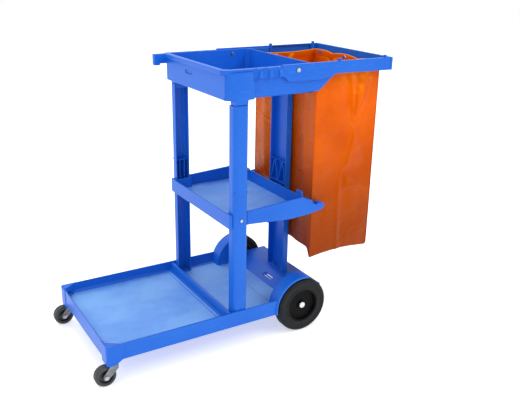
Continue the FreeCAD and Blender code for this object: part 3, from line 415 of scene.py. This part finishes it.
def shownMesh(name, points, faces, slot, body="frame"):
    data = bpy.data.meshes.new(name)
    data.from_pydata([tuple(p) for p in points], [], [tuple(int(i) for i in f) for f in faces])
    data.validate()
    made = bpy.data.objects.new(name, data)
    scene.collection.objects.link(made)
    joined = bmesh.new()
    joined.from_mesh(data)
    bmesh.ops.remove_doubles(joined, verts=joined.verts[:], dist=joinWithin)
    bmesh.ops.recalc_face_normals(joined, faces=joined.faces[:])
    joined.to_mesh(data)
    joined.free()
    for face in data.polygons:
        face.use_smooth = True
    data.materials.append(looks[slot])
    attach(made, body)
    return made


bag = {
    "front": 0.2665,
    "rear": 0.5355,
    "half": 0.1965,
    # the front panel's place behind the rear column, how wide it is there, and where it bends
    "behindColumn": (0.2745, 0.062, 0.120),
    "top": 0.9555,
    "hooks": (-0.150, 0.0, 0.150),
    "hooksUp": 0.942,
    "hookReach": 0.075,
    "scallop": 0.007,
    "sideDroop": (0.4, 0.9),  # in scallops: at the seams, and how much more in the middle
    "nearLow": 0.2555,
    "nearLift": 0.010,
    "rearLow": 0.264,
    "farLow": 0.268,
    "frontLow": 0.290,
    "earDrop": 0.003,
    "earWidth": 0.014,
    "footUp": 0.281,
    "footCurve": 1.6,
    "columns": 300,
    "rows": 150,
    "bottomRings": 22,
    "thick": 0.0009,
}

# folds on the near side panel: start, end, how far they stand out, half width, how sharp
sideFolds = [
    ((0.372, 0.965), (0.434, 0.745), -0.0065, 0.020, 1.3),
    ((0.408, 0.965), (0.436, 0.745), 0.0085, 0.016, 1.0),
    ((0.448, 0.965), (0.440, 0.745), -0.0075, 0.018, 1.2),
    ((0.500, 0.900), (0.442, 0.745), 0.0060, 0.018, 1.2),
    ((0.432, 0.738), (0.398, 0.575), 0.0060, 0.012, 1.0),
    ((0.398, 0.575), (0.385, 0.517), 0.0050, 0.011, 1.0),
    ((0.385, 0.517), (0.388, 0.250), 0.0070, 0.016, 0.9),
    ((0.404, 0.499), (0.539, 0.486), 0.0034, 0.007, 1.0),
    ((0.266, 0.773), (0.339, 0.796), 0.0030, 0.007, 1.0),
    ((0.266, 0.752), (0.352, 0.768), 0.0024, 0.006, 1.0),
    ((0.266, 0.716), (0.425, 0.738), 0.0040, 0.010, 1.1),
    ((0.280, 0.690), (0.400, 0.700), -0.0024, 0.010, 1.2),
    ((0.444, 0.744), (0.520, 0.770), 0.0034, 0.010, 1.1),
    ((0.430, 0.640), (0.525, 0.690), 0.0022, 0.012, 1.4),
    ((0.300, 0.905), (0.345, 0.850), 0.0022, 0.010, 1.3),
    ((0.290, 0.610), (0.380, 0.640), -0.0018, 0.012, 1.5),
    ((0.410, 0.330), (0.530, 0.360), 0.0016, 0.012, 1.4),
    ((0.390, 0.285), (0.440, 0.312), 0.0028, 0.006, 1.0),
    ((0.280, 0.470), (0.375, 0.455), 0.0018, 0.010, 1.2),
]

# folds on the other panels, by the coordinate that runs across the panel
frontFolds = [
    ((-0.190, 0.600), (-0.070, 0.560), 0.0022, 0.010, 1.2),
    ((-0.190, 0.790), (-0.080, 0.775), 0.0020, 0.008, 1.1),
    ((-0.130, 0.950), (-0.150, 0.300), 0.0026, 0.020, 1.5),
    ((0.130, 0.950), (0.155, 0.300), 0.0026, 0.020, 1.5),
    ((0.070, 0.700), (0.190, 0.730), 0.0020, 0.010, 1.2),
    ((0.000, 0.420), (0.190, 0.400), 0.0018, 0.010, 1.2),
]
rearFolds = [
    ((-0.100, 0.960), (-0.020, 0.720), 0.0050, 0.018, 1.2),
    ((0.100, 0.960), (0.020, 0.720), 0.0050, 0.018, 1.2),
    ((0.000, 0.720), (0.010, 0.260), 0.0055, 0.014, 1.0),
    ((-0.190, 0.500), (0.190, 0.490), 0.0030, 0.008, 1.0),
    ((-0.190, 0.760), (-0.040, 0.730), 0.0026, 0.009, 1.1),
    ((0.060, 0.640), (0.190, 0.670), 0.0024, 0.010, 1.2),
]

foldShape = {
    "endSoft": 1.2,  # half widths over which an end dies away
    "endHeight": 0.6,
    "fall": 1.8,
}


def foldHeight(folds, across, up):
    total = np.zeros_like(across)
    for (x0, z0), (x1, z1), rise, half, sharp in folds:
        dx, dz = x1 - x0, z1 - z0
        length = math.hypot(dx, dz)
        along = ((across - x0) * dx + (up - z0) * dz) / length ** 2
        off = np.abs((across - x0) * dz - (up - z0) * dx) / length
        # the fold dies away past its ends
        nearest = np.minimum(along, 1 - along) * length
        ends = np.clip(nearest / (half * foldShape["endSoft"]) + foldShape["endHeight"], 0, 1)
        profile = np.exp(-((off / half) ** (1.0 + 0.5 * sharp)) * foldShape["fall"])
        total += rise * profile * ends * ends * (3 - 2 * ends)
    return total


# flat faces of the pleats: three corners of the panel, each with how far it stands out
sideFacets = [
    ((0.372, 0.958, -0.0105), (0.452, 0.958, -0.0040), (0.436, 0.742, 0.0125)),
    ((0.452, 0.958, -0.0040), (0.500, 0.930, 0.0030), (0.436, 0.742, 0.0125)),
    ((0.436, 0.742, 0.0125), (0.398, 0.575, 0.0070), (0.520, 0.560, -0.0030)),
    ((0.398, 0.575, 0.0070), (0.405, 0.499, 0.0060), (0.535, 0.486, 0.0040)),
]

facetSoft = 0.14  # the share of a facet over which it blends into the cloth around it


def facetHeight(facets, across, up):
    total = np.zeros_like(across)
    for (ax, az, ar), (bx, bz, br), (cx, cz, cr) in facets:
        area = (bx - ax) * (cz - az) - (cx - ax) * (bz - az)
        b = ((across - ax) * (cz - az) - (cx - ax) * (up - az)) / area
        c = ((bx - ax) * (up - az) - (across - ax) * (bz - az)) / area
        a = 1 - b - c
        inside = np.clip(np.minimum(np.minimum(a, b), c) / facetSoft, 0, 1)
        inside = inside * inside * (3 - 2 * inside)
        flat = a * ar + b * br + c * cr
        total = np.where(inside > 0, total * (1 - inside) + flat * inside, total)
    return total


noiseCells = 128


def smoothNoise(across, up, cell, seed):
    # value noise on a grid, the same on every run
    table = np.random.default_rng(seed).uniform(-1, 1, (noiseCells, noiseCells))
    x, z = across / cell, up / cell
    i, j = np.floor(x).astype(int), np.floor(z).astype(int)
    fx, fz = x - i, z - j
    fx, fz = fx * fx * (3 - 2 * fx), fz * fz * (3 - 2 * fz)

    def corner(a, b):
        return table[(i + a) % noiseCells, (j + b) % noiseCells]

    low = corner(0, 0) * (1 - fx) + corner(1, 0) * fx
    high = corner(0, 1) * (1 - fx) + corner(1, 1) * fx
    return low * (1 - fz) + high * fz


nearSide, rearSide, farSide, frontSide = range(4)


def bagPlan():
    # the plan's corner points, anticlockwise from the near front corner
    behind, clear, bend = bag["behindColumn"]
    return [(bag["front"], -bag["half"]), (bag["rear"], -bag["half"]), (bag["rear"], bag["half"]),
            (bag["front"], bag["half"]), (bag["front"], bend), (behind, clear), (behind, -clear),
            (bag["front"], -bend)]


def walkPlan(count):
    # evenly spaced points round the plan, with their outward directions and the panel each is on
    plan = np.array(bagPlan() + bagPlan()[:1])
    runs = np.diff(plan, axis=0)
    lengths = np.linalg.norm(runs, axis=1)
    ends = np.concatenate([[0], np.cumsum(lengths)])
    spots = np.linspace(0, ends[-1], count, endpoint=False)
    # the nearest spots move onto the four corners, so that the seams are crisp
    for corner in ends[:4]:
        spots[np.argmin(np.abs(spots - corner))] = corner
    run = np.clip(np.searchsorted(ends, spots, side="right") - 1, 0, len(runs) - 1)
    share = ((spots - ends[run]) / lengths[run])[:, None]
    points = plan[run] + runs[run] * share
    outward = np.stack([runs[run][:, 1], -runs[run][:, 0]], 1) / lengths[run][:, None]
    return points, outward, np.minimum(run, frontSide), spots, ends


def bagRims(x, y, panel, spots, ends):
    # the top edge droops between its hooks, and the bottom edge has an ear at the near front seam
    fromHook = np.min(np.abs(y[:, None] - np.array(bag["hooks"])[None, :]), axis=1)
    sag = np.sin(np.pi * np.clip((x - bag["front"]) / (bag["rear"] - bag["front"]), 0, 1))
    atSeam, more = bag["sideDroop"]
    hung = np.clip(fromHook / bag["hookReach"], 0, 1) ** 2
    droop = np.where(np.isin(panel, (rearSide, frontSide)), hung, atSeam + more * sag)
    top = bag["top"] - bag["scallop"] * droop
    low = np.select([panel == nearSide, panel == rearSide, panel == farSide],
                    [bag["nearLow"] + bag["nearLift"] * sag, bag["rearLow"], bag["farLow"]],
                    bag["frontLow"])
    ear = np.exp(-(np.minimum(spots, ends[-1] - spots) / bag["earWidth"]) ** 2)
    low = low + (bag["nearLow"] - bag["earDrop"] - low) * np.where(panel == frontSide, ear, 0)
    # a short blur softens the steps from panel to panel
    blur = np.array([0.25, 0.5, 0.25])
    low = np.convolve(np.concatenate([low[-1:], low, low[:1]]), blur, "valid")
    return top, low


# the looseness of the cloth; a swell or crumple is its size, seed and height
slackness = {
    "nearFolds": 0.5,
    "farFolds": 8,  # how many of the near side's folds the far side has
    "farMirror": 0.80,
    "farDown": 0.02,
    "wideSwell": (0.11, 3, 0.0030),
    "smallSwell": (0.045, 5, 0.0016),
    "smallSquash": 0.6,
    "crumple": (0.018, 8, 0.0007),
    "crumpleSlant": 0.3,
    "footSwell": (0.05, 12, 0.003),
    "pull": 0.0035,
    "pullReach": 0.10,
    "seamReach": 0.03,
    "mouthReach": 0.03,
    "inward": 0.014,
    "outward": 0.0125,
    "frontOutward": 0.0015,
    "leanFrom": 0.26,
    "leanOver": 0.68,
    "drawFrom": 0.40,
    "drawOver": 0.13,
    "draw": 0.004,
}


def bagRise(wide, girth, up, down, panel, fromSeam):
    # how far each point of the walls stands out of the plan
    nearFolds = foldHeight(sideFolds, wide, up) * slackness["nearFolds"]
    rise = np.where(panel == nearSide, nearFolds + facetHeight(sideFacets, wide, up), 0)
    farFolds = foldHeight(sideFolds[:slackness["farFolds"]], slackness["farMirror"] - wide,
                          up + slackness["farDown"])
    rise = rise + np.where(panel == farSide, farFolds, 0)
    rise = rise + np.where(panel == frontSide, foldHeight(frontFolds, wide, up), 0)
    rise = rise + np.where(panel == rearSide, foldHeight(rearFolds, wide, up), 0)
    # general looseness: slow swells, then small crumples
    cell, seed, height = slackness["wideSwell"]
    swell = smoothNoise(girth, up, cell, seed) * height
    cell, seed, height = slackness["smallSwell"]
    swell = swell + smoothNoise(girth, up * slackness["smallSquash"], cell, seed) * height
    cell, seed, height = slackness["crumple"]
    crumple = smoothNoise(girth + up * slackness["crumpleSlant"], up, cell, seed) * height
    slack = np.clip(fromSeam / slackness["seamReach"], 0, 1)[None, :]
    pulled = np.clip(fromSeam / slackness["pullReach"], 0, 1)[None, :]
    pull = -slackness["pull"] * np.sin(np.pi * down) * pulled
    return (rise + swell + crumple + pull) * (0.12 + 0.88 * slack)


def bagWalls(plan, outward, panel, spots, ends):
    # rows of points from the mouth down to the bottom edge
    x, y = plan[:, 0], plan[:, 1]
    top, low = bagRims(x, y, panel, spots, ends)
    down = np.linspace(0, 1, bag["rows"] + 1)[:, None]
    up = top[None, :] * (1 - down) + low[None, :] * down
    across = np.where(np.isin(panel, (nearSide, farSide)), x, y)
    wide = np.broadcast_to(across[None, :], up.shape)
    girth = np.broadcast_to(spots[None, :], up.shape)
    seams = np.append(ends[:4], ends[-1])
    fromSeam = np.min(np.abs(spots[:, None] - seams[None, :]), axis=1)
    rise = bagRise(wide, girth, up, down, panel, fromSeam)
    # the mouth is held by its hem, and the front panel stays clear of the rear column
    hang = np.clip((top[None, :] - up) / slackness["mouthReach"], 0, 1)
    rise = rise * (0.25 + 0.75 * hang)
    limit = np.where(panel == frontSide, slackness["frontOutward"], slackness["outward"])[None, :]
    rise = np.clip(rise, -slackness["inward"], limit)
    px = x[None, :] + outward[None, :, 0] * rise
    py = y[None, :] + outward[None, :, 1] * rise
    # the rear of the bag draws in a little towards its foot
    lean = np.clip((up - slackness["leanFrom"]) / slackness["leanOver"], 0, 1)
    back = np.where(px > slackness["drawFrom"], (px - slackness["drawFrom"]) / slackness["drawOver"], 0)
    px = px + back * (-slackness["draw"] + slackness["draw"] * lean)
    return np.stack([px, py, up], 2)


def bagFoot(edge, centre):
    # rings that close in to the middle, slightly raised and uneven
    cell, seed, height = slackness["footSwell"]
    foot = []
    for k in range(1, bag["bottomRings"]):
        share = k / bag["bottomRings"]
        ring = edge * (1 - share) + centre * share
        kept = (1 - share) ** bag["footCurve"]
        ring[:, 2] = edge[:, 2] * kept + centre[2] * (1 - kept)
        swell = smoothNoise(ring[:, 0], ring[:, 1], cell, seed)
        ring[:, 2] += swell * height * math.sin(math.pi * share)
        foot.append(ring)
    return foot


def makeBag():
    count, rings = bag["columns"], bag["rows"] + bag["bottomRings"]
    plan, outward, panel, spots, ends = walkPlan(count)
    walls = bagWalls(plan, outward, panel, spots, ends)
    centre = np.array([(bag["front"] + bag["rear"]) / 2, 0, bag["footUp"]])
    points = np.concatenate([walls.reshape(-1, 3)] + bagFoot(walls[-1], centre) + [centre[None, :]])
    faces = []
    for r in range(rings - 1):
        for c in range(count):
            d = (c + 1) % count
            faces.append((r * count + c, r * count + d, (r + 1) * count + d, (r + 1) * count + c))
    # a fan of triangles closes the middle of the foot
    last, hub = (rings - 1) * count, len(points) - 1
    for c in range(count):
        faces.append((last + c, last + (c + 1) % count, hub))
    made = shownMesh("bagCloth", points, faces, "bag_vinyl")
    thick = made.modifiers.new("cloth", "SOLIDIFY")
    thick.thickness = bag["thick"]
    thick.offset = -1
    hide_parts("bag")
    return made, walls, outward, spots, ends


bagTrim = {
    "hemDrops": (-0.0006, 0.0015, 0.008, 0.016, 0.0225, 0.024),
    "hemOut": 0.0010,
    "hemThick": 0.0030,
    "hemEdge": 0.0004,
    "weltRadius": 0.0014,
    "weltSides": 8,
    "weltStep": 3,  # rows of the cloth from point to point
    "weltAside": (0.31, 0.95, 0.05),  # a direction that no seam runs along
}


def makeHem(rows, outward):
    # a closed strip round the mouth that hangs down the rows, a little thinner at its edges
    levels, count = len(rows), len(rows[0])
    points, faces = [], []
    for side, shift in ((0, bagTrim["hemOut"]), (1, bagTrim["hemOut"] - bagTrim["hemThick"])):
        for k, row in enumerate(rows):
            bulge = bagTrim["hemEdge"] if k in (0, levels - 1) else 0.0
            offset = shift + (bulge if side else -bulge)
            points += [(p[0] + n[0] * offset, p[1] + n[1] * offset, p[2]) for p, n in zip(row, outward)]

    def at(side, k, c):
        return (side * levels + k) * count + c % count

    foot = levels - 1
    for c in range(count):
        for k in range(foot):
            faces.append((at(0, k, c), at(0, k, c + 1), at(0, k + 1, c + 1), at(0, k + 1, c)))
            faces.append((at(1, k, c + 1), at(1, k, c), at(1, k + 1, c), at(1, k + 1, c + 1)))
        faces.append((at(1, 0, c), at(1, 0, c + 1), at(0, 0, c + 1), at(0, 0, c)))
        faces.append((at(0, foot, c), at(0, foot, c + 1), at(1, foot, c + 1), at(1, foot, c)))
    return shownMesh("bagHem", points, faces, "bag_vinyl")


def makeWelts(lines):
    # a round welt down each seam
    sides, radius = bagTrim["weltSides"], bagTrim["weltRadius"]
    points, faces = [], []
    for line in lines:
        line = [Vector(p) for p in line]
        first = len(points)
        for k, p in enumerate(line):
            ahead = (line[min(k + 1, len(line) - 1)] - line[max(k - 1, 0)]).normalized()
            side = ahead.cross(Vector(bagTrim["weltAside"])).normalized()
            other = ahead.cross(side)
            for a in range(sides):
                turn = 2 * math.pi * a / sides
                points.append(p + radius * (math.cos(turn) * side + math.sin(turn) * other))
        for k in range(len(line) - 1):
            for a in range(sides):
                b = (a + 1) % sides
                faces.append((first + k * sides + a, first + k * sides + b,
                              first + (k + 1) * sides + b, first + (k + 1) * sides + a))
        last = first + (len(line) - 1) * sides
        faces.append(tuple(first + a for a in range(sides))[::-1])
        faces.append(tuple(last + a for a in range(sides)))
    return shownMesh("bagWelts", points, faces, "bag_vinyl")


def makeBagTrim(walls, outward, spots, ends):
    hem = makeHem([walls[0] - np.array([0, 0, drop]) for drop in bagTrim["hemDrops"]], outward)
    lines = []
    for corner in ends[:4]:
        seam = int(np.argmin(np.abs(spots - corner)))
        line = walls[::bagTrim["weltStep"], seam].copy()
        if not np.allclose(line[-1], walls[-1, seam]):
            line = np.concatenate([line, walls[-1:, seam]])
        lines.append(line)
    return hem, makeWelts(lines)


def turnedFaces(size, steps, first=0):
    # joins each place of a closed profile to its next place round the turn
    faces = []
    for step in range(steps):
        here, after = first + step * size, first + (step + 1) % steps * size
        for k in range(size):
            n = (k + 1) % size
            faces.append((here + k, here + n, after + n, after + k))
    return faces


def turnedPiece(name, profile, centre, slot, body, steps, replaced):
    # a closed profile of (radius, along) points, turned about the line along y through centre
    axis = Vector((0, 1, 0))
    side = axis.cross(Vector((0, 0, 1))).normalized()
    other = axis.cross(side)
    points = []
    for step in range(steps):
        turn = 2 * math.pi * step / steps
        radial = math.cos(turn) * side + math.sin(turn) * other
        points += [Vector(centre) + radial * r + axis * a for r, a in profile]
    made = shownMesh(name, points, turnedFaces(len(profile), steps), slot, body)
    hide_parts(replaced)


def softened(profile, radius, steps=3):
    # rounds each corner of a closed profile by up to radius
    points = [Vector((r, a)) for r, a in profile]
    result = []
    for index, here in enumerate(points):
        before = points[index - 1]
        after = points[(index + 1) % len(points)]
        back, ahead = before - here, after - here
        reach = min(radius, back.length * 0.45, ahead.length * 0.45)
        start, end = here + back.normalized() * reach, here + ahead.normalized() * reach
        for k in range(steps + 1):
            t = k / steps
            result.append(tuple(start * (1 - t) ** 2 + here * 2 * t * (1 - t) + end * t * t))
    return result


rearWheel = {
    "radius": 0.100,
    "hubRadius": 0.062,
    "inside": 0.210,
    "outside": 0.255,
    "along": 0.207,
    "shoulder": 0.011,
    "shoulderSteps": 9,
    # raised rings of the sidewall: out from the hub or the shoulder, and out of the wall
    "hubRing": [(0.0, -0.0012), (0.0022, 0.0), (0.0052, 0.0), (0.0064, -0.0012)],
    "shoulderRing": [(-0.0075, -0.0008), (-0.0060, 0.0)],
    "grooves": (0.007, -0.007),
    "grooveDepth": 0.0012,
    "grooveMouth": 0.0012,
    "grooveFloor": 0.0005,
    "turns": 120,
}


def makeRearWheel(name, side):
    # tyre with raised sidewall rings and two fine tread grooves
    inside, outside = rearWheel["inside"], rearWheel["outside"]
    radius, shoulder = rearWheel["radius"], rearWheel["shoulder"]
    arc = [(radius - shoulder + shoulder * math.sin(t), -shoulder + shoulder * math.cos(t))
           for t in np.linspace(0, math.pi / 2, rearWheel["shoulderSteps"])]
    wall = [(rearWheel["hubRadius"] + r, a) for r, a in rearWheel["hubRing"]]
    wall += [(radius - shoulder + r, a) for r, a in rearWheel["shoulderRing"]]
    half = [(r, outside + a) for r, a in wall + arc]
    other = [(r, inside - (a - outside)) for r, a in reversed(half)]
    floor = radius - rearWheel["grooveDepth"]
    mouth, foot = rearWheel["grooveMouth"], rearWheel["grooveFloor"]
    grooves = []
    for shift in rearWheel["grooves"]:
        place = (inside + outside) / 2 + shift
        grooves += [(radius, place + mouth), (floor, place + foot), (floor, place - foot),
                    (radius, place - mouth)]
    profile = [(r, side * a) for r, a in half + grooves + other]
    turnedPiece("rearTyre." + name, profile, (rearWheel["along"], 0, radius), "tyre_rubber",
                "rear_wheel_" + name, rearWheel["turns"], "tyre_" + name)


eyelet = {
    "outer": 0.0078,
    "hole": 0.0046,
    # which edge a point is measured from, out from it, and along the hole
    "section": [
        ("outer", 0.0, 0.0), ("outer", -0.0008, 0.0013), ("hole", 0.0, 0.0015),
        ("hole", -0.0004, 0.0002), ("hole", -0.0004, -0.0022), ("hole", 0.0, -0.0034),
        ("outer", -0.0010, -0.0032), ("outer", 0.0, -0.0020),
    ],
    "round": 0.0006,
    "rear": 0.5361,
    "rearPlaces": (-0.150, 0.0, 0.150),
    "front": 0.2662,
    "frontPlaces": (-0.150, 0.150),
    "turns": 32,
}


def makeEyelets():
    # rolled metal rings on both faces of the cloth
    section = [(eyelet[edge] + out, along) for edge, out, along in eyelet["section"]]
    profile = softened(section, eyelet["round"])
    rings = [(eyelet["rear"], y, 1) for y in eyelet["rearPlaces"]]
    rings += [(eyelet["front"], y, -1) for y in eyelet["frontPlaces"]]
    points, faces = [], []
    for x, y, way in rings:
        faces += turnedFaces(len(profile), eyelet["turns"], len(points))
        for step in range(eyelet["turns"]):
            turn = 2 * math.pi * step / eyelet["turns"]
            points += [(x + way * a, y + r * math.cos(turn), bag["hooksUp"] + r * math.sin(turn))
                       for r, a in profile]
    made = shownMesh("bagEyelets", points, faces, "eyelet_metal")
    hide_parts("bag_eyelets")
    return made


axleCap = {"radius": 0.0118, "skirt": 0.35, "steps": 10, "turns": 48}


def makeAxleCap(name, side):
    # a smooth pushed-on dome with a short straight skirt
    low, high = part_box("axle_cap_" + name)
    near, far = sorted((abs(low[1]), abs(high[1])))
    radius = axleCap["radius"]
    skirt = near + (far - near) * axleCap["skirt"]
    dome = [(radius * math.cos(t), skirt + (far - skirt) * math.sin(t))
            for t in np.linspace(math.pi / 2, 0, axleCap["steps"])]
    profile = [(max(r, 0), side * a) for r, a in dome + [(radius, near), (0.0, near)]]
    centre = ((low[0] + high[0]) / 2, 0, (low[2] + high[2]) / 2)
    turnedPiece("axleCap." + name, profile, centre, "bright_metal",
                nodes["axle_cap_" + name]["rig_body"], axleCap["turns"], "axle_cap_" + name)


paleFloor = {
    "half": 12.0,
    "colour": (0.80, 0.80, 0.805, 1),
    "second": (0.84, 0.84, 0.85, 1),
    "secondShare": 0.04,
    "rough": 0.6,
    "glow": 0.60,
}


def makeStage():
    half = paleFloor["half"]
    data = bpy.data.meshes.new("floor")
    corners = [(-half, -half, 0), (half, -half, 0), (half, half, 0), (-half, half, 0)]
    data.from_pydata(corners, [], [(0, 1, 2, 3)])
    floor = bpy.data.objects.new("floor", data)
    scene.collection.objects.link(floor)
    constants = {"Roughness": paleFloor["rough"], "Emission Strength": paleFloor["glow"]}
    look, place = newLook("paleFloor", constants)
    tone = noise(place, 3, 4).step(0.3, 0.7)
    shade = (tone * paleFloor["secondShare"]).mixed(paleFloor["colour"], paleFloor["second"])
    data.materials.append(finishLook(look, {"Base Color": shade, "Emission Color": shade}))


makeCamera()
makeLamps()
makeStage()
print("camera, lamps and floor made")
dressNodes()
print("carried-over pieces dressed")
cloth, walls, outward, spots, ends = makeBag()
hem, welts = makeBagTrim(walls, outward, spots, ends)
eyelets = makeEyelets()
print("bag made")
for name, side in (("left", -1), ("right", 1)):
    makeRearWheel(name, side)
    makeAxleCap(name, side)
print("wheels made")
